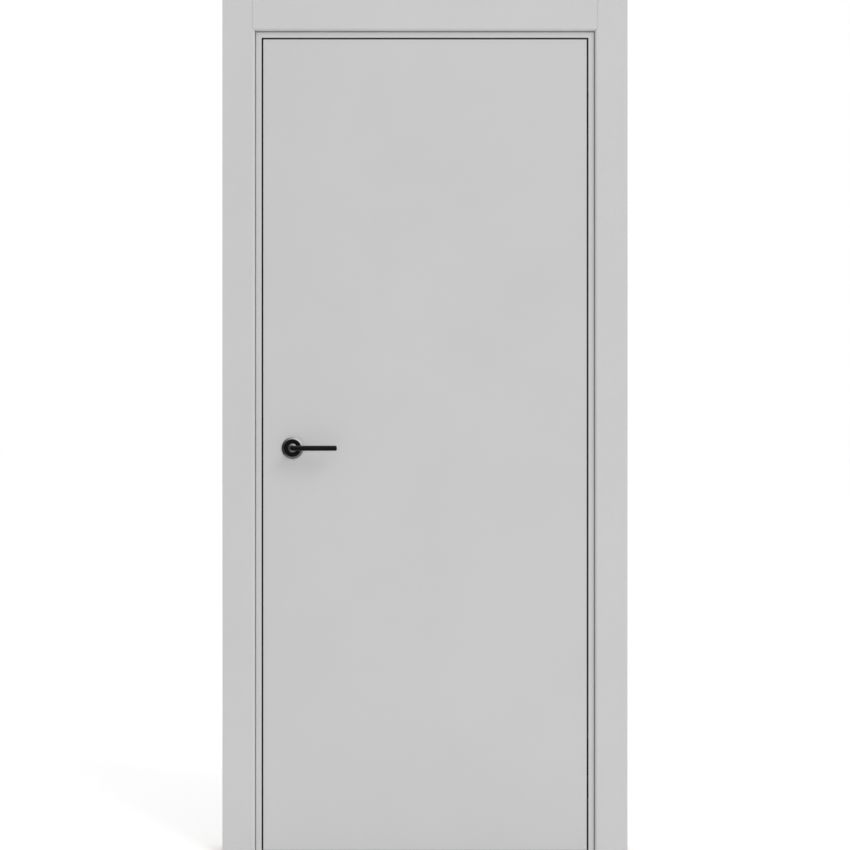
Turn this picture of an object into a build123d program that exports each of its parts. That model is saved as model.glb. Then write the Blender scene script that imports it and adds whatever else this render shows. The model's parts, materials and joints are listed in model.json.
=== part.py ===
"""Flush interior door in its frame: leaf, two-sided casings, concealed hinges and a round-rose lever set.

Millimetres. +X runs from the latch side to the hinge side, +Y from the pull side to the push side, +Z up.
The origin is on the outer face of the hinge jamb, at floor level, halfway through the frame's depth.
"""
import os
from math import atan2, degrees, hypot

from build123d import *

os.makedirs("parts", exist_ok=True)

# Leaf
LEAF_WIDTH = 800.0
LEAF_HEIGHT = 2000.0
LEAF_THICKNESS = 40.0
SKIN = 3.0
EDGE_BAND = 1.8
FLOOR_GAP = 6.0
RUNNING_GAP = 2.5

# Frame
FRAME_DEPTH = 75.0
JAMB_THICKNESS = 40.0
STOP_RISE = 12.0
SEAL_GAP = 4.0
JAMB_ARRIS = 1.0

# Casings
CASING_WIDTH = 80.0
CASING_THICKNESS = 10.0
CASING_REVEAL = 15.5
CASING_INNER_ROUND = 6.5
CASING_OUTER_ROUND = 1.5
QUIRK_WIDTH = 1.8
QUIRK_DEPTH = 2.0
TONGUE_OFFSET = 14.5
TONGUE_WIDTH = 4.0
TONGUE_DEPTH = 12.0
TONGUE_CLEARANCE = 0.15
TONGUE_END_CLEARANCE = 1.0

# Seal
SEAL_OFFSET = 3.0
SEAL_WIDTH = 6.0
SEAL_ROOT_WIDTH = 3.0
SEAL_ROOT_DEPTH = 4.0
SEAL_CLEARANCE = 0.4
SEAL_WALL = 1.0

# Lever set
LEVER_HEIGHT = 998.0
BACKSET = 74.0
ROSE_RADIUS = 27.0
ROSE_HEIGHT = 7.0
ROSE_SIDE_HEIGHT = 3.0
ROSE_RIM_WIDTH = 5.4
DISC_DROP = 0.6
COLLAR_RADIUS = 10.8
COLLAR_SIDE_STAND = 0.3
COLLAR_STAND = 2.3
COLLAR_LIP = 2.0
NECK_RADIUS = 8.0
NECK_TO_LEAF = 0.8
BAR_RADIUS = 6.4
BAR_STANDOFF = 46.0
BAR_REACH = 111.0
BAR_BEND = 9.0
BAR_END_EASE = 2.2
SPINDLE_SIDE = 8.0
SPINDLE_CLEARANCE = 0.05
RUNNING_CLEARANCE = 0.08
SEAT_CLEARANCE = 0.1

# Latch
CASE_DEPTH = 95.0
CASE_HEIGHT = 150.0
CASE_THICKNESS = 15.0
CASE_DROP = 25.0
HUB_CLEARANCE = 0.6
FOREND_HEIGHT = 190.0
FOREND_WIDTH = 20.0
FOREND_THICKNESS = 3.0
BOLT_HEIGHT = 26.0
BOLT_WIDTH = 11.0
BOLT_LENGTH = 30.0
BOLT_CLEARANCE = 0.3
STRIKE_HEIGHT = 150.0
STRIKE_WIDTH = 24.0
STRIKE_THICKNESS = 2.0
STRIKE_WINDOW_MARGIN = 2.0
STRIKE_POCKET = 16.0

# Concealed hinge
HINGE_INSET = 200.0
HINGE_HEIGHT = 150.0
CUP_DEPTH = 28.0
CUP_WALL = 1.3
CAVITY_HALF_HEIGHT = 18.2
GROOVE_DEPTH = 3.0
CENTRE_ARM_HALF = 9.0
ARM_SPLIT = 0.4
SIDE_ARM_THICKNESS = 8.0
ARM_HALF_WIDTH = 3.0
AXLE_RADIUS = 1.6
CROSS_PIN_RADIUS = 1.6
GUIDE_PIN_RADIUS = 1.75
GUIDE_CLEARANCE = 0.25
PIN_CLEARANCE = 0.05
GUIDE_END_GAP = 0.5
GUIDE_OVERRUN = 2.0
OPEN_ANGLE = 120.0
AXLE_IN = 4.7
AXLE_BACK = 7.9
CROSS_BACK = 17.9
ELBOW_IN = 8.4
ELBOW_BACK = 11.8
NAPE_IN = 7.4
NAPE_BACK = 16.2
WAIST_IN = 0.5
WAIST_BACK = 18.2
HOOK_IN = 1.4
HOOK_BACK = 25.0
SADDLE_OUT = 3.4
SADDLE_BACK = 31.9
HEEL_OUT = 9.0
HEEL_BACK = 32.1
GUIDE_IN = 23.6
GUIDE_BACK = 29.6

# Places that follow from the sizes
FRONT = -FRAME_DEPTH / 2
BACK = FRAME_DEPTH / 2
STOP_Y = FRONT + LEAF_THICKNESS + SEAL_GAP
STOP_THICKNESS = JAMB_THICKNESS + STOP_RISE
HINGE_FACE = -JAMB_THICKNESS
LEAF_RIGHT = HINGE_FACE - RUNNING_GAP
LEAF_LEFT = LEAF_RIGHT - LEAF_WIDTH
LATCH_FACE = LEAF_LEFT - RUNNING_GAP
FRAME_LEFT = LATCH_FACE - JAMB_THICKNESS
LEAF_BOTTOM = FLOOR_GAP
LEAF_TOP = LEAF_BOTTOM + LEAF_HEIGHT
LEAF_BACK = FRONT + LEAF_THICKNESS
LEAF_MIDDLE = FRONT + LEAF_THICKNESS / 2
HEAD_FACE = LEAF_TOP + RUNNING_GAP
FRAME_TOP = HEAD_FACE + JAMB_THICKNESS
CASING_INSET = JAMB_THICKNESS - CASING_REVEAL
CASING_BOTTOM_EDGE = HEAD_FACE + CASING_REVEAL
CASING_TOP = CASING_BOTTOM_EDGE + CASING_WIDTH
TONGUE_TOP = CASING_BOTTOM_EDGE + TONGUE_OFFSET - TONGUE_END_CLEARANCE
SPINDLE_X = LEAF_LEFT + BACKSET
NECK_TOP = ROSE_HEIGHT + COLLAR_STAND - COLLAR_LIP
HINGE_X = HINGE_FACE - RUNNING_GAP / 2


def block(low, high):
    """Box between two opposite corners."""
    size = [b - a for a, b in zip(low, high)]
    middle = [(a + b) / 2 for a, b in zip(low, high)]
    return Pos(*middle) * Box(*size)


def run_along(profile, origin, across, outward, direction, length):
    """Extrude a flat profile whose x lies along across and whose y lies along outward."""
    normal = Vector(*across).cross(Vector(*outward))
    plane = Plane(origin=origin, x_dir=across, z_dir=normal)
    return extrude(plane * profile, amount=length, dir=direction)


def corner(profile, x, y):
    """The profile's vertices at one point."""
    return profile.vertices().filter_by(lambda v: hypot(v.X - x, v.Y - y) < 0.01)


def jamb_profile():
    """x from the jamb's outer face inwards, y from its pull-side edge to its push-side edge."""
    rebate = STOP_Y - FRONT
    outline = Polyline(
        (0, 0), (JAMB_THICKNESS, 0), (JAMB_THICKNESS, rebate),
        (STOP_THICKNESS, rebate), (STOP_THICKNESS, FRAME_DEPTH), (0, FRAME_DEPTH), close=True,
    )
    shape = make_face(outline)
    for x, y in ((JAMB_THICKNESS, 0), (STOP_THICKNESS, rebate), (STOP_THICKNESS, FRAME_DEPTH)):
        shape = fillet(corner(shape, x, y), JAMB_ARRIS)
    groove_low = CASING_INSET - TONGUE_OFFSET - TONGUE_WIDTH - TONGUE_CLEARANCE
    groove = Rectangle(TONGUE_WIDTH + 2 * TONGUE_CLEARANCE, TONGUE_DEPTH + TONGUE_END_CLEARANCE,
                       align=(Align.MIN, Align.MIN))
    shape -= Pos(groove_low, 0) * groove
    shape -= Pos(groove_low, FRAME_DEPTH - TONGUE_DEPTH - TONGUE_END_CLEARANCE) * groove
    quirk = Rectangle(QUIRK_WIDTH, QUIRK_DEPTH, align=(Align.MIN, Align.MIN))
    shape -= Pos(CASING_INSET, 0) * quirk
    shape -= Pos(CASING_INSET, FRAME_DEPTH - QUIRK_DEPTH) * quirk
    root_middle = JAMB_THICKNESS + SEAL_OFFSET + SEAL_WIDTH / 2
    root = Rectangle(SEAL_ROOT_WIDTH, SEAL_ROOT_DEPTH, align=(Align.CENTER, Align.MIN))
    shape -= Pos(root_middle, rebate) * root
    return shape


def casing_profile():
    """x from the inner edge outwards, y from the wall face outwards, with the tongue below zero."""
    shape = Rectangle(CASING_WIDTH, CASING_THICKNESS, align=(Align.MIN, Align.MIN))
    shape = fillet(corner(shape, 0, CASING_THICKNESS), CASING_INNER_ROUND)
    shape = fillet(corner(shape, CASING_WIDTH, CASING_THICKNESS), CASING_OUTER_ROUND)
    tongue = Rectangle(TONGUE_WIDTH, TONGUE_DEPTH, align=(Align.MIN, Align.MAX))
    return shape + Pos(TONGUE_OFFSET, 0) * tongue


def seal_profile():
    """A hollow bulb on a root, x inwards from the jamb's outer face, y from the stop towards the leaf."""
    height = SEAL_GAP - SEAL_CLEARANCE
    bulb = Rectangle(SEAL_WIDTH, height, align=(Align.CENTER, Align.MIN))
    bulb = fillet(bulb.vertices().group_by(Axis.Y)[-1], height / 2)
    inner = Rectangle(SEAL_WIDTH - 2 * SEAL_WALL, height - 2 * SEAL_WALL, align=(Align.CENTER, Align.MIN))
    bulb -= Pos(0, SEAL_WALL) * inner
    root = Rectangle(SEAL_ROOT_WIDTH, SEAL_ROOT_DEPTH, align=(Align.CENTER, Align.MAX))
    return Pos(JAMB_THICKNESS + SEAL_OFFSET + SEAL_WIDTH / 2, 0) * (bulb + root)


def mitre_plane(side):
    """The 45 degree plane at a top corner of the frame; its normal points into the head."""
    x = 0 if side > 0 else FRAME_LEFT
    return Plane(origin=(x, 0, FRAME_TOP), z_dir=(-side, 0, 1))


def side_member(profile, y, outward, side):
    """An upright on one side, from the floor to its mitre; side is 1 at the hinges, -1 at the latch."""
    x = 0 if side > 0 else FRAME_LEFT
    bar = run_along(profile, (x, y, 0), (-side, 0, 0), outward, (0, 0, 1), FRAME_TOP)
    return split(bar, bisect_by=mitre_plane(side), keep=Keep.BOTTOM)


def head_member(profile, y, outward):
    """The cross member between both mitres."""
    bar = run_along(profile, (FRAME_LEFT, y, FRAME_TOP), (0, 0, -1), outward, (1, 0, 0), -FRAME_LEFT)
    for side in (1, -1):
        bar = split(bar, bisect_by=mitre_plane(side), keep=Keep.TOP)
    return bar


def make_frame():
    """Jambs, head and seals, with the pockets for the strike and the hinge cups."""
    pockets = [hinge_cup_outline(1, z) for z in HINGE_HEIGHTS]
    hinge_jamb = side_member(jamb_profile(), FRONT, (0, 1, 0), 1)
    for pocket in pockets:
        hinge_jamb -= pocket
    latch_jamb = side_member(jamb_profile(), FRONT, (0, 1, 0), -1)
    latch_jamb -= strike_plate_blank() + strike_pocket()
    return {
        "hinge_jamb": hinge_jamb,
        "latch_jamb": latch_jamb,
        "head_jamb": head_member(jamb_profile(), FRONT, (0, 1, 0)),
        "seal_hinge_side": side_member(seal_profile(), STOP_Y, (0, -1, 0), 1),
        "seal_latch_side": side_member(seal_profile(), STOP_Y, (0, -1, 0), -1),
        "seal_head": head_member(seal_profile(), STOP_Y, (0, -1, 0)),
    }


def tongue_space(edge, side, y, out, low, high):
    """The room behind a side casing's face, where its tongue stops short of the head's."""
    x_low, x_high = sorted((edge - side * TONGUE_END_CLEARANCE, edge + side * CASING_WIDTH))
    y_low, y_high = sorted((y, y - out * 2 * TONGUE_DEPTH))
    return block((x_low, y_low, low), (x_high, y_high, high))


def make_casings():
    """Full-height side casings with the head casing butted between them, on both faces."""
    pieces = {}
    ease = CASING_INNER_ROUND
    hinge_edge = -CASING_INSET
    latch_edge = FRAME_LEFT + CASING_INSET
    bottom = CASING_BOTTOM_EDGE
    for face, y, out in (("pull", FRONT, -1), ("push", BACK, 1)):
        outward = (0, out, 0)
        for name, side, edge in (("hinge", 1, hinge_edge), ("latch", -1, latch_edge)):
            upright = run_along(casing_profile(), (edge, y, 0), (side, 0, 0), outward, (0, 0, 1), CASING_TOP)
            notch = make_face(Polyline(
                (edge, bottom), (edge + side * ease, bottom + ease), (edge + side * ease, CASING_TOP),
                (edge, CASING_TOP), close=True,
            ))
            upright -= extrude(Plane.XZ * notch, amount=FRAME_DEPTH, both=True)
            upright -= tongue_space(edge, side, y, out, TONGUE_TOP, CASING_TOP)
            pieces[f"casing_{face}_{name}"] = upright
        left = latch_edge - ease
        length = hinge_edge + ease - left
        head = run_along(casing_profile(), (left, y, bottom), (0, 0, 1), outward, (1, 0, 0), length)
        for side, edge in ((1, hinge_edge), (-1, latch_edge)):
            wedge = make_face(Polyline(
                (edge, bottom), (edge + side * ease, bottom), (edge + side * ease, bottom + ease), close=True,
            ))
            head -= extrude(Plane.XZ * wedge, amount=FRAME_DEPTH, both=True)
        for side, edge in ((1, hinge_edge), (-1, latch_edge)):
            head -= tongue_space(edge, side, y, out, bottom, CASING_TOP)
        pieces[f"casing_{face}_head"] = head
    return pieces


def leaf_panel(y_low, y_high):
    """A sheet of the leaf inside the edge bands, with the hole for the spindle."""
    sheet = block((LEAF_LEFT + EDGE_BAND, y_low, LEAF_BOTTOM + EDGE_BAND),
                  (LEAF_RIGHT - EDGE_BAND, y_high, LEAF_TOP - EDGE_BAND))
    hole = Cylinder(COLLAR_RADIUS, y_high - y_low, rotation=(90, 0, 0))
    return sheet - Pos(SPINDLE_X, (y_low + y_high) / 2, LEVER_HEIGHT) * hole


def make_leaf():
    """Core, two skins and four edge bands, with the pockets of the latch case and the hinge cups."""
    core = leaf_panel(FRONT + SKIN, LEAF_BACK - SKIN)
    core -= case_blank() + forend_blank()
    hinge_band = block((LEAF_RIGHT - EDGE_BAND, FRONT, LEAF_BOTTOM), (LEAF_RIGHT, LEAF_BACK, LEAF_TOP))
    latch_band = block((LEAF_LEFT, FRONT, LEAF_BOTTOM), (LEAF_LEFT + EDGE_BAND, LEAF_BACK, LEAF_TOP))
    latch_band -= forend_blank()
    for z in HINGE_HEIGHTS:
        cup = hinge_cup_outline(-1, z)
        core -= cup
        hinge_band -= cup
    rail = (LEAF_LEFT + EDGE_BAND, LEAF_RIGHT - EDGE_BAND)
    return {
        "leaf_core": core,
        "leaf_skin_pull": leaf_panel(FRONT, FRONT + SKIN),
        "leaf_skin_push": leaf_panel(LEAF_BACK - SKIN, LEAF_BACK),
        "edge_band_hinge": hinge_band,
        "edge_band_latch": latch_band,
        "edge_band_top": block((rail[0], FRONT, LEAF_TOP - EDGE_BAND), (rail[1], LEAF_BACK, LEAF_TOP)),
        "edge_band_bottom": block((rail[0], FRONT, LEAF_BOTTOM),
                                  (rail[1], LEAF_BACK, LEAF_BOTTOM + EDGE_BAND)),
    }


def case_blank():
    """The latch case's outer block behind the forend."""
    middle = LEVER_HEIGHT - CASE_DROP
    half = CASE_THICKNESS / 2
    return block((LEAF_LEFT + FOREND_THICKNESS, LEAF_MIDDLE - half, middle - CASE_HEIGHT / 2),
                 (LEAF_LEFT + FOREND_THICKNESS + CASE_DEPTH, LEAF_MIDDLE + half, middle + CASE_HEIGHT / 2))


def forend_blank():
    """The forend plate with round ends, flush with the leaf's latch edge."""
    plate = SlotOverall(FOREND_HEIGHT, FOREND_WIDTH, rotation=90)
    plane = Plane(origin=(LEAF_LEFT, LEAF_MIDDLE, LEVER_HEIGHT - CASE_DROP), x_dir=(0, 1, 0), z_dir=(1, 0, 0))
    return extrude(plane * plate, amount=FOREND_THICKNESS)


def bolt_block(grow, length):
    """The latch bolt's block, grown all round by a clearance."""
    half_y = BOLT_WIDTH / 2 + grow
    half_z = BOLT_HEIGHT / 2 + grow
    return block((LEAF_LEFT, LEAF_MIDDLE - half_y, LEVER_HEIGHT - half_z),
                 (LEAF_LEFT + length, LEAF_MIDDLE + half_y, LEVER_HEIGHT + half_z))


def strike_plate_blank():
    """The strike plate with round ends, flush with the latch jamb."""
    plate = SlotOverall(STRIKE_HEIGHT, STRIKE_WIDTH, rotation=90)
    plane = Plane(origin=(LATCH_FACE, LEAF_MIDDLE, LEVER_HEIGHT), x_dir=(0, 1, 0), z_dir=(1, 0, 0))
    return extrude(plane * plate, amount=-STRIKE_THICKNESS)


def strike_pocket():
    """The pocket in the jamb behind the strike plate's window."""
    half_y = BOLT_WIDTH / 2 + STRIKE_WINDOW_MARGIN
    half_z = BOLT_HEIGHT / 2 + STRIKE_WINDOW_MARGIN
    return block((LATCH_FACE - STRIKE_POCKET, LEAF_MIDDLE - half_y, LEVER_HEIGHT - half_z),
                 (LATCH_FACE, LEAF_MIDDLE + half_y, LEVER_HEIGHT + half_z))


def make_latch():
    """Latch case, forend and bolt in the leaf, and the strike plate on the jamb."""
    opening = bolt_block(BOLT_CLEARANCE, BOLT_LENGTH + BOLT_CLEARANCE)
    hub_radius = SPINDLE_SIDE / 2 * 2**0.5 + HUB_CLEARANCE
    hub = Cylinder(hub_radius, CASE_THICKNESS, rotation=(90, 0, 0))
    hub = Pos(SPINDLE_X, LEAF_MIDDLE, LEVER_HEIGHT) * hub
    bolt = bolt_block(0, BOLT_LENGTH)
    return {
        "latch_case": case_blank() - opening - hub,
        "latch_forend": forend_blank() - opening,
        "latch_bolt": bolt,
        "strike_plate": strike_plate_blank() - strike_pocket(),
    }


def on_leaf(profile, face):
    """Turn a profile of radius and height round the spindle axis; face is -1 on the pull side."""
    y = FRONT if face < 0 else LEAF_BACK
    plane = Plane(origin=(SPINDLE_X, y, LEVER_HEIGHT), x_dir=(1, 0, 0), z_dir=(0, 0, face))
    axis = Axis((SPINDLE_X, y, LEVER_HEIGHT), (0, 1, 0))
    return revolve(plane * profile, axis)


def rose_profiles():
    """Radius and height outlines of the rim, the face disc and the collar."""
    rim_inner = ROSE_RADIUS - ROSE_RIM_WIDTH
    rim = make_face(Polyline(
        (rim_inner, 0), (ROSE_RADIUS, 0), (ROSE_RADIUS, ROSE_SIDE_HEIGHT),
        (rim_inner, ROSE_HEIGHT), close=True,
    ))
    disc_inner = COLLAR_RADIUS + SEAT_CLEARANCE
    disc_outer = rim_inner - SEAT_CLEARANCE
    disc_top = ROSE_HEIGHT - DISC_DROP
    disc = make_face(Polyline(
        (disc_inner, 0), (disc_outer, 0), (disc_outer, disc_top), (disc_inner, disc_top), close=True,
    ))
    bore = NECK_RADIUS + RUNNING_CLEARANCE
    mouth = BAR_RADIUS + RUNNING_CLEARANCE
    collar = make_face(Polyline(
        (bore, 0), (COLLAR_RADIUS, 0), (COLLAR_RADIUS, ROSE_HEIGHT + COLLAR_SIDE_STAND),
        (mouth, ROSE_HEIGHT + COLLAR_STAND), (mouth, NECK_TOP + SEAT_CLEARANCE),
        (bore, NECK_TOP + SEAT_CLEARANCE), close=True,
    ))
    return {"rose_rim": rim, "rose_disc": disc, "rose_collar": collar}


def lever(face):
    """A round bar bent from the spindle axis towards the hinge side, on a shoulder that the collar holds."""
    y = FRONT if face < 0 else LEAF_BACK
    bend_start = BAR_STANDOFF - BAR_BEND
    neck_plane = Plane(origin=(SPINDLE_X, y + face * bend_start, LEVER_HEIGHT), z_dir=(0, face, 0))
    ring = neck_plane * Circle(BAR_RADIUS)
    bend_axis = Axis((SPINDLE_X + BAR_BEND, y + face * bend_start, LEVER_HEIGHT), (0, 0, -face))
    shank = extrude(ring, amount=NECK_TOP - bend_start)
    elbow = revolve(ring, bend_axis, 90)
    bar_plane = Plane(origin=(SPINDLE_X + BAR_BEND, y + face * BAR_STANDOFF, LEVER_HEIGHT), z_dir=(1, 0, 0))
    bar = extrude(bar_plane * Circle(BAR_RADIUS), amount=BAR_REACH - BAR_BEND)
    bar = chamfer(bar.edges().filter_by(GeomType.CIRCLE).sort_by(Axis.X)[-1], BAR_END_EASE)
    shoulder = make_face(Polyline(
        (0, NECK_TO_LEAF), (NECK_RADIUS, NECK_TO_LEAF), (NECK_RADIUS, NECK_TOP), (0, NECK_TOP), close=True,
    ))
    half = SPINDLE_SIDE / 2 + SPINDLE_CLEARANCE
    low_y, high_y = sorted((y, y + face * NECK_TOP))
    socket = block((SPINDLE_X - half, low_y, LEVER_HEIGHT - half),
                   (SPINDLE_X + half, high_y, LEVER_HEIGHT + half))
    return shank + elbow + bar + on_leaf(shoulder, face) - socket


def make_lever_set():
    """Rims, discs, collars and levers on both faces, and the spindle through the leaf."""
    pieces = {}
    for name, face in (("pull", -1), ("push", 1)):
        for part, profile in rose_profiles().items():
            pieces[f"{part}_{name}"] = on_leaf(profile, face)
        pieces[f"lever_{name}"] = lever(face)
    reach = NECK_TOP - SEAT_CLEARANCE
    half = SPINDLE_SIDE / 2
    pieces["spindle"] = block((SPINDLE_X - half, FRONT - reach, LEVER_HEIGHT - half),
                              (SPINDLE_X + half, LEAF_BACK + reach, LEVER_HEIGHT + half))
    return pieces


HINGE_HEIGHTS = (LEAF_BOTTOM + HINGE_INSET, LEAF_TOP - HINGE_INSET)
CUP_FRONT = SKIN
CUP_BACK = LEAF_THICKNESS - SKIN


def hinge_plane(z):
    """The hinge's own plane: x from the middle of the gap into the jamb, y back from the leaf's pull face."""
    return Plane(origin=(HINGE_X, FRONT, z), x_dir=(1, 0, 0), z_dir=(0, 0, 1))


def hinge_cup_outline(side, z):
    """The cup's outer block, side 1 in the jamb and -1 in the leaf."""
    face = HINGE_X + side * RUNNING_GAP / 2
    outline = SlotOverall(HINGE_HEIGHT, CUP_BACK - CUP_FRONT, rotation=90)
    plane = Plane(origin=(face, FRONT + (CUP_FRONT + CUP_BACK) / 2, z), x_dir=(0, 1, 0), z_dir=(1, 0, 0))
    return extrude(plane * outline, amount=side * CUP_DEPTH)


def guide_groove():
    """The groove in the jamb's cup, in the hinge's plane: the arc that the fork's guide pin draws."""
    rise = CROSS_BACK - AXLE_BACK
    start = degrees(atan2(rise, -AXLE_IN)) - GUIDE_OVERRUN
    centre = (GUIDE_IN + AXLE_IN, GUIDE_BACK - rise)
    track = CenterArc(centre, hypot(AXLE_IN, rise), start, OPEN_ANGLE + 2 * GUIDE_OVERRUN)
    return SlotArc(track, 2 * (GUIDE_PIN_RADIUS + GUIDE_CLEARANCE))


def hinge_cup(side, z):
    """A cup with its arm cavity, its axle and the grooves for the other arm's guide pin."""
    plane = hinge_plane(z)
    cup = hinge_cup_outline(side, z)
    mouth = RUNNING_GAP / 2
    floor = mouth + CUP_DEPTH - CUP_WALL
    x_low, x_high = sorted((side * mouth, side * floor))
    cavity = make_face(Polyline(
        (x_low, CUP_FRONT + CUP_WALL), (x_high, CUP_FRONT + CUP_WALL),
        (x_high, CUP_BACK - CUP_WALL), (x_low, CUP_BACK - CUP_WALL), close=True,
    ))
    cup -= extrude(plane * cavity, amount=CAVITY_HALF_HEIGHT, both=True)
    groove = guide_groove()
    if side < 0:
        groove = mirror(groove, about=Plane.YZ)
    cup -= extrude(plane * groove, amount=CAVITY_HALF_HEIGHT + GROOVE_DEPTH, both=True)
    axle = Pos(side * AXLE_IN, AXLE_BACK) * Circle(AXLE_RADIUS)
    cup += extrude(plane * axle, amount=CAVITY_HALF_HEIGHT + GROOVE_DEPTH, both=True)
    return cup


def beside(before, point, after, distance):
    """The corner of a bent strip's edge: a distance to the left of a path that turns at the point."""
    ahead = (point - before).normalized() + (after - point).normalized()
    left = Vector(-ahead.Y, ahead.X)
    return point + left * (2 * distance / left.length**2)


def arm_outline(side):
    """The cranked arm's outline, round at both ends; side is the side of its own axle."""
    path = [
        Vector(side * AXLE_IN, AXLE_BACK), Vector(side * ELBOW_IN, ELBOW_BACK),
        Vector(side * NAPE_IN, NAPE_BACK), Vector(side * WAIST_IN, WAIST_BACK),
        Vector(side * HOOK_IN, HOOK_BACK), Vector(-side * SADDLE_OUT, SADDLE_BACK),
        Vector(-side * HEEL_OUT, HEEL_BACK), Vector(-side * GUIDE_IN, GUIDE_BACK),
    ]
    before = [path[0] * 2 - path[1]] + path[:-1]
    after = path[1:] + [path[-1] * 2 - path[-2]]
    left = [beside(*step, ARM_HALF_WIDTH) for step in zip(before, path, after)]
    right = [beside(*step, -ARM_HALF_WIDTH) for step in zip(before, path, after)]
    strip = make_face(Polyline(*left, *reversed(right), close=True))
    return strip + Pos(path[0]) * Circle(ARM_HALF_WIDTH) + Pos(path[-1]) * Circle(ARM_HALF_WIDTH)


def round_pin(x, y, radius, half_length, plane):
    """A pin across the hinge, centred on the hinge's middle."""
    return extrude(plane * (Pos(x, y) * Circle(radius)), amount=half_length, both=True)


def centre_arm(z):
    """The arm on the jamb's axle: one thick link with a guide pin at its far end."""
    plane = hinge_plane(z)
    arm = extrude(plane * arm_outline(1), amount=CENTRE_ARM_HALF, both=True)
    arm -= round_pin(AXLE_IN, AXLE_BACK, AXLE_RADIUS + PIN_CLEARANCE, CENTRE_ARM_HALF, plane)
    arm -= round_pin(0, CROSS_BACK, CROSS_PIN_RADIUS + PIN_CLEARANCE, CENTRE_ARM_HALF, plane)
    reach = CAVITY_HALF_HEIGHT + GROOVE_DEPTH - GUIDE_END_GAP
    return arm + round_pin(-GUIDE_IN, GUIDE_BACK, GUIDE_PIN_RADIUS, reach, plane)


def side_arms(z):
    """The fork on the leaf's axle: two links joined by the cross pin and by their guide pin."""
    plane = hinge_plane(z)
    inner = CENTRE_ARM_HALF + ARM_SPLIT
    outer = inner + SIDE_ARM_THICKNESS
    fork = extrude(plane * arm_outline(-1), amount=outer, both=True)
    fork -= extrude(plane * arm_outline(-1), amount=inner, both=True)
    fork -= round_pin(-AXLE_IN, AXLE_BACK, AXLE_RADIUS + PIN_CLEARANCE, outer, plane)
    fork += round_pin(0, CROSS_BACK, CROSS_PIN_RADIUS, outer, plane)
    reach = CAVITY_HALF_HEIGHT + GROOVE_DEPTH - GUIDE_END_GAP
    return fork + round_pin(GUIDE_IN, GUIDE_BACK, GUIDE_PIN_RADIUS, reach, plane)


def make_hinges():
    """Both hinges: a cup in the jamb, a cup in the leaf and the two crossing arms."""
    pieces = {}
    for name, z in zip(("lower", "upper"), HINGE_HEIGHTS):
        pieces[f"hinge_cup_jamb_{name}"] = hinge_cup(1, z)
        pieces[f"hinge_cup_leaf_{name}"] = hinge_cup(-1, z)
        pieces[f"hinge_arm_centre_{name}"] = centre_arm(z)
        pieces[f"hinge_arm_fork_{name}"] = side_arms(z)
    return pieces


def main():
    pieces = {}
    for make in (make_frame, make_casings, make_leaf, make_latch, make_lever_set, make_hinges):
        pieces.update(make())
    for name, shape in pieces.items():
        shape.label = name
        export_step(shape, f"parts/{name}.step")
    print(len(pieces), "parts written")


main()
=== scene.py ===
"""Looks of a flush interior door: satin enamel, black edges and seal, chrome rims, black levers, hinges."""
import json
from collections import namedtuple
from math import cos, pi, radians, sin

import bmesh
import bpy
from mathutils import Matrix, Vector


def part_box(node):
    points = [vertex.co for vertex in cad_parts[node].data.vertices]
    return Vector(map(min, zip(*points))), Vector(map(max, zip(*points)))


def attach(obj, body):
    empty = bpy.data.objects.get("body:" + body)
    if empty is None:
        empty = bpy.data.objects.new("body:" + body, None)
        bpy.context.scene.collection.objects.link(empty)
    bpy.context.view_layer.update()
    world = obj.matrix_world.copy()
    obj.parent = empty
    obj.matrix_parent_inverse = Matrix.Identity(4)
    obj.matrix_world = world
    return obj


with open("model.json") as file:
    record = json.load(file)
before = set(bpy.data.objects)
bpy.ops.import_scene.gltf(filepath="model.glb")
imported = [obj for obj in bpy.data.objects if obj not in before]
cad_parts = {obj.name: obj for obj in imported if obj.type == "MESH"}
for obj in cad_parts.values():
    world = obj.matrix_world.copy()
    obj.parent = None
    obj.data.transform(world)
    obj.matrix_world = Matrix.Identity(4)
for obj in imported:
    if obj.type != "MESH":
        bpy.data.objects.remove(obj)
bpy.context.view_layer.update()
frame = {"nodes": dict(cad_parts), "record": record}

MM = 0.001

# Places read from the frame
LEAF_LOW, LEAF_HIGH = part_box("leaf_skin_pull")
FRAME_LOW, FRAME_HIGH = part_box("head_jamb")
HEAD_CASING_LOW, HEAD_CASING_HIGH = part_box("casing_pull_head")
STRIKE_LOW, STRIKE_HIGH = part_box("strike_plate")
STRIKE_MIDDLE = (STRIKE_LOW + STRIKE_HIGH) / 2
LEAF_CENTRE = (LEAF_LOW.x + LEAF_HIGH.x) / 2
LEAF_FACE = LEAF_LOW.y

# The photograph's camera: the side of its picture, the scale at the leaf's face and the row where the floor
# meets the plane of that face, in pixels; its distance in metres, and the sensor's width in millimetres
PHOTO_SIDE = 850
PIXELS_PER_MM = 0.4060
FLOOR_ROW = 853.2
CAMERA_DISTANCE = 4.5
SENSOR = 36.0

# Levels of the paints, on the 0 to 255 scale of a picture
LEAF_LEVEL = 203
FRAME_LEVEL = 204
# Painted shade: the grey laid in the groove beside the casings and on the head casing's end joints
JOINT_SHADE_LEVEL = 125

# Where shade is painted: the groove beside the casings, measured in from the frame's outer faces and down
# from its front and back, and the hairlines at the head casing's ends, joint lines that also take painted
# shade, which slant over its rounded edge
THIN = 0.4 * MM
JOINT = (24.3 * MM, 26.5 * MM)
JOINT_DEPTH = 2.5 * MM
CASING_ROUND = 6.5 * MM
HAIRLINE = 0.3 * MM
SLANT_WIDENING = 1.4

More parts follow.
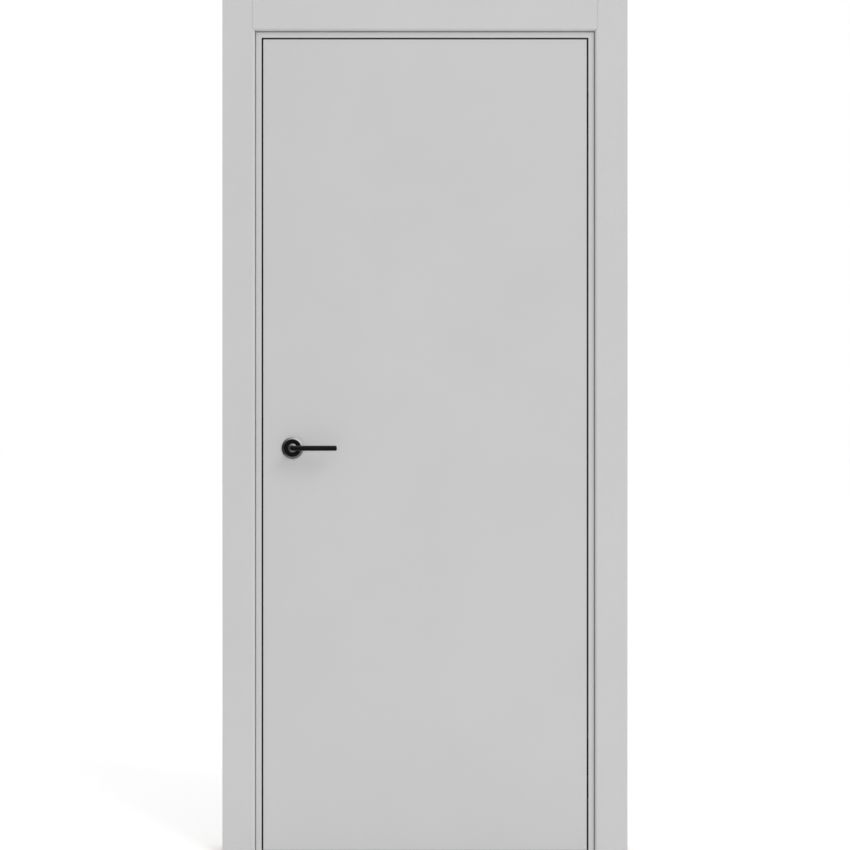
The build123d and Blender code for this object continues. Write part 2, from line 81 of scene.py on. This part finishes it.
# Where the bare board shows: against the wall, on the backs of the casings and inside the strike pocket
BACK_SKIN = 0.05 * MM
JAMB_RAW = [("X", FRAME_HIGH.x - THIN, 1), ("X", FRAME_LOW.x + THIN, -1), ("Z", FRAME_HIGH.z - THIN, 1)]
PULL_RAW = [("Y", FRAME_LOW.y - BACK_SKIN, 1)]
PUSH_RAW = [("Y", FRAME_HIGH.y + BACK_SKIN, -1)]
POCKET_DEPTH, POCKET_HALF_WIDTH, POCKET_HALF_HEIGHT = 20 * MM, 8 * MM, 16 * MM
POCKET_MOUTH = Vector((STRIKE_LOW.x, STRIKE_MIDDLE.y, STRIKE_MIDDLE.z))
POCKET = (POCKET_MOUTH - Vector((POCKET_DEPTH, POCKET_HALF_WIDTH, POCKET_HALF_HEIGHT)),
          POCKET_MOUTH + Vector((THIN, POCKET_HALF_WIDTH, POCKET_HALF_HEIGHT)))

# Satin enamel: its gloss, its drift in shade and the depth of its orange peel
ENAMEL_ROUGHNESS = (0.40, 0.47)
ENAMEL_DRIFT = 1.2
PEEL_DEPTH = 0.03 * MM
PEEL_SHARE = 0.7
RAW_ROUGHER = 0.4

# The middle range of a noise, over which it is spread to run from one value to another
NOISE_MIDDLE = (0.3, 0.7)

# Edges: sharp from this angle on, and rounded by a small radius where a node's name starts like this
SHARP_ANGLE = radians(30)
WELD_DISTANCE = 0.01 * MM
FACE_WEIGHT = 80
SOFT_EDGES = {"casing": 0.4 * MM, "lever": 0.5 * MM, "rose_rim": 0.3 * MM, "rose_collar": 0.3 * MM,
              "strike": 0.3 * MM, "latch_forend": 0.3 * MM, "hinge_cup": 0.3 * MM}

# Screws: how their heads stand over the face, narrow to the flat top and close below the recess, and their
# places on the hinge cups and plates, up and down from the middle, and under the levers' necks
HEAD_SIDES = 24
HEAD_RISE = 0.2 * MM
HEAD_RIM = 0.02 * MM
HEAD_FLAT = 0.93
RECESS_TAPER = 0.6
BELOW_RECESS = 0.2 * MM
CROSS_HALF_WIDTH, CROSS_HALF_LENGTH = 0.6 * MM, 2.1 * MM
SOCKET_RADIUS = 1.3 * MM
HINGE_SCREWS = (-58 * MM, -34 * MM, 34 * MM, 58 * MM)
STRIKE_SCREWS = (-62 * MM, 62 * MM)
FOREND_SCREWS = (-84 * MM, 84 * MM)
GRUB_STAND = 6.0 * MM
GRUB_SINK = 0.1 * MM
BAR_RADIUS = 6.4 * MM

# The studio: its even light, the floor, and the dimmer room and floor that polished metal mirrors
WORLD_LIGHT = 0.752
FLOOR_GLOW = 0.318
FLOOR_HALF = 60.0
FLOOR_LEVEL = 246
FLOOR_MIRRORED = 120
FLOOR_MIRRORED_LEFT = 62
FLOOR_DIM_FROM = -0.95
FLOOR_DIM_TO = -2.0
MIRROR_BRIGHT_SIDE = (0.6, -0.1, 0.8)
MIRROR_DARKEST = 0.03
MIRROR_BRIGHTEST = 0.8
MIRROR_RAMP = ((0.3, 0.035), (0.42, 0.06), (0.58, 0.12), (0.8, 0.4), (0.88, 0.52))

# A large lamp high on the right, and a weak narrow one that lifts the door's foot
KEY_TARGET = Vector((LEAF_CENTRE, LEAF_FACE, 1.1))
KEY_DIRECTION = Vector((1.5, -1.8, 1.9)).normalized()
KEY_DISTANCE = 18.0
KEY_SIZE = 8.0
KEY_POWER = 1000
FILL_PLACE = (2.3, -3.2, 0.35)
FILL_TARGET = (-0.35, LEAF_FACE, 0.0)
FILL_WIDTH = 1.6
FILL_HEIGHT = 0.6
FILL_SPREAD = radians(40)
FILL_POWER = 0.6


def grey(level):
    """A neutral colour, linear, from its level on the 0 to 255 scale of a picture."""
    share = level / 255
    linear = share / 12.92 if share <= 0.04045 else ((share + 0.055) / 1.055) ** 2.4
    return (linear, linear, linear, 1)


def tint(red, green, blue):
    """A colour, linear, from its three levels on the 0 to 255 scale of a picture."""
    return tuple(grey(v)[0] for v in (red, green, blue)) + (1,)


class Nodes:
    """Short ways to add nodes to a tree and to feed their sockets."""

    def __init__(self, tree):
        self.tree = tree

    def node(self, kind, **inputs):
        made = self.tree.nodes.new(kind)
        for key, value in inputs.items():
            self.feed(made.inputs[key], value)
        return made

    def feed(self, socket, value):
        if isinstance(value, bpy.types.NodeSocket):
            self.tree.links.new(value, socket)
        else:
            socket.default_value = value

    def math(self, operation, first, second=0.0):
        made = self.tree.nodes.new("ShaderNodeMath")
        made.operation = operation
        self.feed(made.inputs[0], first)
        self.feed(made.inputs[1], second)
        return made.outputs[0]

    def spread(self, value, source, target=(0.0, 1.0)):
        """A value that runs over the target range as another runs over the source range."""
        made = self.node("ShaderNodeMapRange", Value=value)
        for key, number in zip(("From Min", "From Max", "To Min", "To Max"), tuple(source) + tuple(target)):
            made.inputs[key].default_value = number
        return made.outputs[0]

    def blend(self, factor, first, second):
        made = self.tree.nodes.new("ShaderNodeMix")
        made.data_type = "RGBA"
        self.feed(made.inputs["Factor"], factor)
        self.feed(made.inputs["A"], first)
        self.feed(made.inputs["B"], second)
        return made.outputs["Result"]


class Shader(Nodes):
    """A node material with one Principled shader, laid out in the piece's own coordinates."""

    def __init__(self, name, colour, roughness, metallic=0.0):
        self.material = bpy.data.materials.new(name)
        self.material.use_nodes = True
        super().__init__(self.material.node_tree)
        self.shader = self.tree.nodes["Principled BSDF"]
        self.shader.inputs["Base Color"].default_value = colour
        self.shader.inputs["Roughness"].default_value = roughness
        self.shader.inputs["Metallic"].default_value = metallic
        self.place = self.tree.nodes.new("ShaderNodeTexCoord").outputs["Object"]

    def axes(self):
        """The place's X, Y and Z."""
        return self.node("ShaderNodeSeparateXYZ", Vector=self.place).outputs

    def noise(self, scale, detail=2.0, stretch=(1, 1, 1)):
        """Noise of so many cells a metre."""
        mapping = self.node("ShaderNodeMapping", Vector=self.place)
        mapping.inputs["Scale"].default_value = stretch
        made = self.node("ShaderNodeTexNoise", Vector=mapping.outputs[0], Scale=scale, Detail=detail)
        return made.outputs["Fac"]

    def between(self, noise, low=0.0, high=1.0):
        """A value that runs from low to high as a noise runs over its middle range."""
        return self.spread(noise, NOISE_MIDDLE, (low, high))

    def bump(self, height, distance, strength=1.0):
        made = self.node("ShaderNodeBump", Height=height, Strength=strength, Distance=distance)
        self.tree.links.new(made.outputs[0], self.shader.inputs["Normal"])

    def set(self, name, value):
        self.feed(self.shader.inputs[name], value)


def within(made, value, low, high):
    """1 where a value lies between two bounds, and 0 elsewhere."""
    return made.math("MULTIPLY", made.math("GREATER_THAN", value, low), made.math("LESS_THAN", value, high))


def inside_box(made, low, high):
    """1 where a surface lies within the box between two corners."""
    parts = made.axes()
    inside = 1.0
    for axis, floor, ceiling in zip("XYZ", low, high):
        inside = made.math("MULTIPLY", inside, within(made, parts[axis], floor, ceiling))
    return inside


def raw_places(made, raw_faces, raw_box):
    """1 on the bare board: beyond one of the planes (axis, place, sign), or inside the box."""
    parts = made.axes()
    bare = 0.0
    for axis, place, sign in raw_faces:
        beyond = made.math("GREATER_THAN" if sign > 0 else "LESS_THAN", parts["XYZ".index(axis)], place)
        bare = made.math("MAXIMUM", bare, beyond)
    if raw_box:
        bare = made.math("MAXIMUM", bare, inside_box(made, *raw_box))
    return bare


def enamel(name, level, raw_faces=(), joint_shade_mask=None, raw_box=None):
    """Sprayed satin enamel: a very fine orange peel and a faint drift in gloss and shade.

    The bare board shows beyond raw_faces and inside raw_box, if given.
    dark is a function that says, as a value from 0 to 1, where the surface lies in a narrow joint, which
    takes painted shade.
    """
    made = Shader(name, grey(level), roughness=0.42)
    drift = made.noise(3.0)
    peel = made.noise(900.0, detail=1.0)
    fine = made.noise(2600.0)
    paint = made.blend(made.between(drift), grey(level - ENAMEL_DRIFT), grey(level + ENAMEL_DRIFT))
    height = made.math("ADD", made.math("MULTIPLY", peel, PEEL_SHARE),
                       made.math("MULTIPLY", fine, 1 - PEEL_SHARE))
    roughness = made.between(fine, *ENAMEL_ROUGHNESS)
    made.bump(height, PEEL_DEPTH, strength=0.6)
    if raw_faces:
        bare = raw_places(made, raw_faces, raw_box)
        fibre = made.noise(1400.0, detail=4.0)
        cloud = made.noise(60.0, detail=3.0)
        wood = made.blend(made.between(fibre), tint(168, 138, 104), tint(196, 168, 132))
        wood = made.blend(made.math("MULTIPLY", cloud, 0.3), wood, tint(150, 122, 92))
        paint = made.blend(bare, paint, wood)
        roughness = made.math("ADD", roughness, made.math("MULTIPLY", bare, RAW_ROUGHER))
    # Painted shade: the narrow joints are painted a shade grey where shade falls in them
    if joint_shade_mask:
        paint = made.blend(joint_shade_mask(made), paint, grey(JOINT_SHADE_LEVEL))
    made.set("Base Color", paint)
    made.set("Roughness", roughness)
    return made.material


def painted_groove_shade(made):
    """1 on the walls and the bottom of the narrow groove between the casings and the jambs, where shade is
    painted.
    """
    parts = made.axes()
    in_from_edge = made.math("MINIMUM", made.math("SUBTRACT", FRAME_HIGH.x, parts["X"]),
                             made.math("SUBTRACT", parts["X"], FRAME_LOW.x))
    in_from_edge = made.math("MINIMUM", in_from_edge, made.math("SUBTRACT", FRAME_HIGH.z, parts["Z"]))
    depth = made.math("MINIMUM", made.math("SUBTRACT", parts["Y"], FRAME_LOW.y),
                      made.math("SUBTRACT", FRAME_HIGH.y, parts["Y"]))
    across = within(made, in_from_edge, *JOINT)
    return made.math("MULTIPLY", across, within(made, depth, THIN, JOINT_DEPTH))


def butt_joint_and_shade(made):
    """1 on the hairlines at the head casing's ends: upright, and at 45 degrees over the rounded edge; these
    joint lines also paint the shade in their narrow gaps.
    """
    parts = made.axes()
    middle = (HEAD_CASING_LOW.x + HEAD_CASING_HIGH.x) / 2
    half = (HEAD_CASING_HIGH.x - HEAD_CASING_LOW.x) / 2
    out = made.math("ABSOLUTE", made.math("SUBTRACT", parts["X"], middle))
    past = made.math("SUBTRACT", out, half)
    rise = made.math("SUBTRACT", parts["Z"], HEAD_CASING_LOW.z + CASING_ROUND)
    upright = made.math("LESS_THAN", made.math("ABSOLUTE", past), HAIRLINE)
    upright = made.math("MULTIPLY", upright, made.math("GREATER_THAN", rise, -HAIRLINE))
    from_slant = made.math("ABSOLUTE", made.math("SUBTRACT", past, rise))
    slant = made.math("LESS_THAN", from_slant, HAIRLINE * SLANT_WIDENING)
    slant = made.math("MULTIPLY", slant, made.math("LESS_THAN", rise, 0.0))
    return made.math("MAXIMUM", upright, slant)


def board(name):
    """Bare chipboard of the leaf's core."""
    made = Shader(name, tint(182, 150, 112), roughness=0.85)
    chips = made.node("ShaderNodeTexVoronoi", Vector=made.place, Scale=320.0).outputs["Distance"]
    fibre = made.noise(900.0, detail=4.0, stretch=(1, 1, 0.3))
    shade = made.blend(chips, tint(198, 168, 128), tint(150, 118, 82))
    made.set("Base Color", made.blend(made.math("MULTIPLY", fibre, 0.5), shade, tint(120, 92, 64)))
    made.bump(chips, 0.4 * MM, strength=0.5)
    return made.material


def matte_black(name, level, roughness, grain, depth):
    """Black plastic or coating with a fine moulded grain of so many cells a metre."""
    made = Shader(name, grey(level), roughness)
    fine = made.noise(grain, detail=3.0)
    drift = made.noise(25.0)
    made.set("Base Color", made.blend(made.between(drift), grey(level - 3), grey(level + 3)))
    made.set("Roughness", made.between(fine, roughness - 0.06, roughness + 0.08))
    made.bump(fine, depth, strength=0.6)
    return made.material


def chrome(name):
    """Polished chrome with the faint marks of handling."""
    made = Shader(name, grey(226), roughness=0.08, metallic=1.0)
    smear = made.noise(180.0, detail=4.0)
    hair = made.noise(900.0, stretch=(1, 8, 1))
    made.set("Roughness", made.between(smear, 0.06, 0.13))
    made.bump(hair, 0.004 * MM, strength=0.3)
    return made.material


def zinc(name):
    """Zinc-plated steel with a dull, lightly crazed shine."""
    made = Shader(name, tint(176, 176, 172), roughness=0.38, metallic=1.0)
    patch = made.noise(220.0, detail=4.0)
    made.set("Base Color", made.blend(made.between(patch), tint(150, 150, 148), tint(198, 198, 194)))
    made.set("Roughness", made.between(made.noise(700.0, detail=3.0), 0.28, 0.5))
    made.bump(made.noise(1500.0), 0.03 * MM, strength=0.4)
    return made.material


def satin_black_metal(name):
    """Satin black lacquer over metal: an even sheen with a very fine texture."""
    made = Shader(name, grey(14), roughness=0.30)
    fine = made.noise(3200.0)
    wide = made.noise(70.0)
    made.set("Base Color", made.blend(made.between(wide), grey(12), grey(17)))
    made.set("Roughness", made.between(fine, 0.26, 0.38))
    made.bump(fine, 0.02 * MM, strength=0.5)
    made.set("Specular IOR Level", 0.35)
    return made.material


MATERIALS = {
    "leaf_enamel": enamel("leaf_enamel", LEAF_LEVEL),
    "jamb_enamel": enamel("jamb_enamel", FRAME_LEVEL, JAMB_RAW, painted_groove_shade, POCKET),
    "casing_pull_enamel": enamel("casing_pull_enamel", FRAME_LEVEL, PULL_RAW, butt_joint_and_shade),
    "casing_push_enamel": enamel("casing_push_enamel", FRAME_LEVEL, PUSH_RAW, butt_joint_and_shade),
    "core_board": board("core_board"),
    "black_edge": matte_black("black_edge", level=18, roughness=0.6, grain=2200.0, depth=0.03 * MM),
    "seal_rubber": matte_black("seal_rubber", level=18, roughness=0.75, grain=1500.0, depth=0.05 * MM),
    "black_plate": matte_black("black_plate", level=34, roughness=0.45, grain=2600.0, depth=0.02 * MM),
    "hinge_metal": matte_black("hinge_metal", level=40, roughness=0.42, grain=1800.0, depth=0.03 * MM),
    "hinge_screw": matte_black("hinge_screw", level=52, roughness=0.36, grain=2600.0, depth=0.01 * MM),
    "plate_screw": matte_black("plate_screw", level=46, roughness=0.36, grain=2600.0, depth=0.01 * MM),
    "polished_chrome": chrome("polished_chrome"),
    "plain_steel": zinc("plain_steel"),
    "black_lever": satin_black_metal("black_lever"),
}


def material_of(name, slot):
    """A node's material goes by its slot; the frame's enamel also goes by where the piece is bare."""
    if slot != "frame_enamel":
        return MATERIALS[slot]
    for start in ("casing_pull", "casing_push"):
        if name.startswith(start):
            return MATERIALS[start + "_enamel"]
    return MATERIALS["jamb_enamel"]


def smooth(mesh):
    """Shade the round faces smooth and keep the sharp edges."""
    for face in mesh.polygons:
        face.use_smooth = True
    mesh.set_sharp_from_angle(angle=SHARP_ANGLE)


def soften(node, width):
    """Join the mesh's faces and round its sharp edges by a small radius."""
    weld = node.modifiers.new("weld", "WELD")
    weld.merge_threshold = WELD_DISTANCE
    bevel = node.modifiers.new("bevel", "BEVEL")
    bevel.limit_method = "ANGLE"
    bevel.angle_limit = SHARP_ANGLE
    bevel.width = width
    bevel.segments = 2
    shade = node.modifiers.new("shade", "WEIGHTED_NORMAL")
    shade.weight = FACE_WEIGHT


def dress_frame():
    """Give every CAD node its material by the record's slot, and smooth its round faces."""
    slots = {part["node"]: part["material_slot"] for part in frame["record"]["subparts"]}
    for name, node in frame["nodes"].items():
        node.data.materials.clear()
        node.data.materials.append(material_of(name, slots[name]))
        smooth(node.data)
        for start, width in SOFT_EDGES.items():
            if name.startswith(start):
                soften(node, width)


def cross_outline(half_width, half_length):
    """The twelve corners of a cross, in order."""
    quarter = [(half_length, half_width), (half_width, half_width), (half_width, half_length)]
    corners = []
    for turn in range(4):
        for x, y in quarter:
            corners.append((x * cos(turn * pi / 2) - y * sin(turn * pi / 2),
                            x * sin(turn * pi / 2) + y * cos(turn * pi / 2)))
    return corners


def polygon_outline(sides, radius):
    return [(radius * cos(2 * pi * i / sides), radius * sin(2 * pi * i / sides)) for i in range(sides)]


# A screw head's radius, the outline and the depth of its recess, and its material
Head = namedtuple("Head", "radius recess depth material")
CROSS = cross_outline(CROSS_HALF_WIDTH, CROSS_HALF_LENGTH)
SOCKET = polygon_outline(6, SOCKET_RADIUS)
HINGE_HEAD = Head(radius=4.2 * MM, recess=CROSS, depth=2.0 * MM, material="hinge_screw")
PLATE_HEAD = Head(radius=3.6 * MM, recess=CROSS, depth=1.8 * MM, material="plate_screw")
GRUB_HEAD = Head(radius=2.4 * MM, recess=SOCKET, depth=1.5 * MM, material="hinge_screw")


def add_screw(maker, place, facing, head):
    """A flush screw head with a rounded rim, a recess that tapers inwards and a closed end below it."""
    turn = Vector(facing).to_track_quat("Z", "Y").to_matrix().to_4x4()
    to_place = Matrix.Translation(place) @ turn
    levels = [
        [(x, y, -head.depth - BELOW_RECESS) for x, y in polygon_outline(HEAD_SIDES, head.radius)],
        [(x, y, HEAD_RIM) for x, y in polygon_outline(HEAD_SIDES, head.radius)],
        [(x, y, HEAD_RISE) for x, y in polygon_outline(HEAD_SIDES, head.radius * HEAD_FLAT)],
        [(x, y, HEAD_RISE) for x, y in head.recess],
        [(x * RECESS_TAPER, y * RECESS_TAPER, HEAD_RISE - head.depth) for x, y in head.recess],
    ]
    rings = [[maker.verts.new(to_place @ Vector(corner)) for corner in level] for level in levels]
    bottom, rim, top, mouth, deep = rings
    for first, second in ((bottom, rim), (rim, top), (mouth, deep)):
        for i in range(len(first)):
            j = (i + 1) % len(first)
            maker.faces.new((first[i], first[j], second[j], second[i]))
    maker.faces.new(deep)
    maker.faces.new(bottom)
    edges = []
    for ring in (top, mouth):
        for i in range(len(ring)):
            edges.append(maker.edges.get((ring[i], ring[(i + 1) % len(ring)])))
    bmesh.ops.triangle_fill(maker, edges=edges, use_beauty=True)


def screws(name, body, head, places, facing):
    """One piece that holds a row of screw heads and rides on a body."""
    maker = bmesh.new()
    for place in places:
        add_screw(maker, Vector(place), facing, head)
    bmesh.ops.recalc_face_normals(maker, faces=maker.faces)
    mesh = bpy.data.meshes.new(name)
    maker.to_mesh(mesh)
    maker.free()
    smooth(mesh)
    piece = bpy.data.objects.new(name, mesh)
    bpy.context.scene.collection.objects.link(piece)
    mesh.materials.append(MATERIALS[head.material])
    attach(piece, body)


def row_on_face(name, facing, rises):
    """Places in a row up the middle of the face of a node that looks along +X (1) or -X (-1)."""
    low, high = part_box(name)
    face = low.x if facing < 0 else high.x
    middle = (low + high) / 2
    return [(face, middle.y, middle.z + rise) for rise in rises]


def add_fixings():
    """Screw heads on the hinge cups, the strike plate and the forend, and a grub screw under each neck."""
    for level in ("lower", "upper"):
        for side, body, facing in (("jamb", "frame", -1), ("leaf", "leaf", 1)):
            places = row_on_face(f"hinge_cup_{side}_{level}", facing, HINGE_SCREWS)
            screws(f"screws_{side}_{level}", body, HINGE_HEAD, places, (facing, 0, 0))
    for plate, body, facing, rises in (("strike_plate", "frame", 1, STRIKE_SCREWS),
                                       ("latch_forend", "leaf", -1, FOREND_SCREWS)):
        places = row_on_face(plate, facing, rises)
        screws(f"screws_{plate}", body, PLATE_HEAD, places, (facing, 0, 0))
    for side, facing in (("pull", -1), ("push", 1)):
        low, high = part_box(f"rose_collar_{side}")
        middle = (low + high) / 2
        face = low.y if facing < 0 else high.y
        place = (middle.x, face + facing * GRUB_STAND, middle.z - BAR_RADIUS + GRUB_SINK)
        screws(f"grub_screw_{side}", "lever", GRUB_HEAD, [place], (0, 0, -1))


def set_camera():
    """The photograph's view: level, square to the leaf, its middle on the door's middle."""
    seen = PHOTO_SIDE / PIXELS_PER_MM * MM
    height = (FLOOR_ROW - PHOTO_SIDE / 2) / PIXELS_PER_MM * MM
    data = bpy.data.cameras.new("camera")
    data.sensor_width = SENSOR
    data.lens = SENSOR * CAMERA_DISTANCE / seen
    camera = bpy.data.objects.new("camera", data)
    camera.location = (LEAF_CENTRE, LEAF_FACE - CAMERA_DISTANCE, height)
    camera.rotation_euler = (radians(90), 0, 0)
    bpy.context.scene.collection.objects.link(camera)
    bpy.context.scene.camera = camera


def set_lamp(name, place, target, width, height, power, spread=pi):
    """A rectangular soft lamp that neither the camera nor polished metal shows."""
    data = bpy.data.lights.new(name, "AREA")
    data.shape = "RECTANGLE"
    data.size = width
    data.size_y = height
    data.energy = power
    data.spread = spread
    lamp = bpy.data.objects.new(name, data)
    lamp.visible_glossy = False
    lamp.visible_camera = False
    lamp.location = place
    lamp.rotation_euler = (Vector(target) - lamp.location).to_track_quat("-Z", "Y").to_euler()
    bpy.context.scene.collection.objects.link(lamp)


def set_world():
    """White to the eye; a dimmer even light on the object; a soft room for polished metal to mirror."""
    world = bpy.data.worlds.new("studio")
    bpy.context.scene.world = world
    world.use_nodes = True
    world.node_tree.nodes.clear()
    made = Nodes(world.node_tree)
    path = made.node("ShaderNodeLightPath").outputs
    light = made.node("ShaderNodeBackground", Color=(1, 1, 1, 1), Strength=WORLD_LIGHT)
    seen = made.node("ShaderNodeBackground", Color=(1, 1, 1, 1), Strength=1.0)
    toward = made.node("ShaderNodeVectorMath")
    toward.operation = "DOT_PRODUCT"
    made.feed(toward.inputs[0], made.node("ShaderNodeTexCoord").outputs["Generated"])
    made.feed(toward.inputs[1], Vector(MIRROR_BRIGHT_SIDE).normalized())
    ramp = made.node("ShaderNodeValToRGB", Fac=made.spread(toward.outputs["Value"], (-1.0, 1.0)))
    stops = ramp.color_ramp.elements
    stops[0].color = (MIRROR_DARKEST, MIRROR_DARKEST, MIRROR_DARKEST, 1)
    stops[1].color = (MIRROR_BRIGHTEST, MIRROR_BRIGHTEST, MIRROR_BRIGHTEST, 1)
    for position, level in MIRROR_RAMP:
        stops.new(position).color = (level, level, level, 1)
    mirrored = made.node("ShaderNodeBackground", Color=ramp.outputs["Color"], Strength=1.0)
    shown = light
    straight = made.math("MAXIMUM", path["Is Camera Ray"], path["Is Transmission Ray"])
    for rays, background in ((path["Is Glossy Ray"], mirrored), (straight, seen)):
        mix = made.node("ShaderNodeMixShader")
        for socket, value in zip(mix.inputs, (rays, shown.outputs[0], background.outputs[0])):
            made.feed(socket, value)
        shown = mix
    made.node("ShaderNodeOutputWorld", Surface=shown.outputs[0])


def set_floor():
    """A plain white floor that keeps the object's shadow."""
    mesh = bpy.data.meshes.new("floor")
    maker = bmesh.new()
    bmesh.ops.create_grid(maker, x_segments=1, y_segments=1, size=FLOOR_HALF)
    maker.to_mesh(mesh)
    maker.free()
    floor = bpy.data.objects.new("floor", mesh)
    floor.location = (LEAF_CENTRE, 0, 0)
    bpy.context.scene.collection.objects.link(floor)
    made = Shader("floor", grey(FLOOR_LEVEL), roughness=0.9)
    made.set("Specular IOR Level", 0.1)
    path = made.node("ShaderNodeLightPath").outputs
    toward_left = made.spread(made.axes()["X"], (FLOOR_DIM_FROM, FLOOR_DIM_TO))
    mirrored = made.blend(toward_left, grey(FLOOR_MIRRORED), grey(FLOOR_MIRRORED_LEFT))
    made.set("Base Color", made.blend(path["Is Glossy Ray"], grey(FLOOR_LEVEL), mirrored))
    straight = made.math("MAXIMUM", path["Is Camera Ray"], path["Is Transmission Ray"])
    made.set("Emission Color", (1, 1, 1, 1))
    made.set("Emission Strength", made.math("MULTIPLY", straight, FLOOR_GLOW))
    floor.data.materials.append(made.material)


dress_frame()
add_fixings()
set_camera()
set_world()
set_floor()
set_lamp("key", KEY_TARGET + KEY_DIRECTION * KEY_DISTANCE, KEY_TARGET, KEY_SIZE, KEY_SIZE, KEY_POWER)
set_lamp("low_fill", FILL_PLACE, FILL_TARGET, FILL_WIDTH, FILL_HEIGHT, FILL_POWER, FILL_SPREAD)

scene = bpy.context.scene
scene.view_settings.view_transform = "Standard"

bpy.context.view_layer.update()
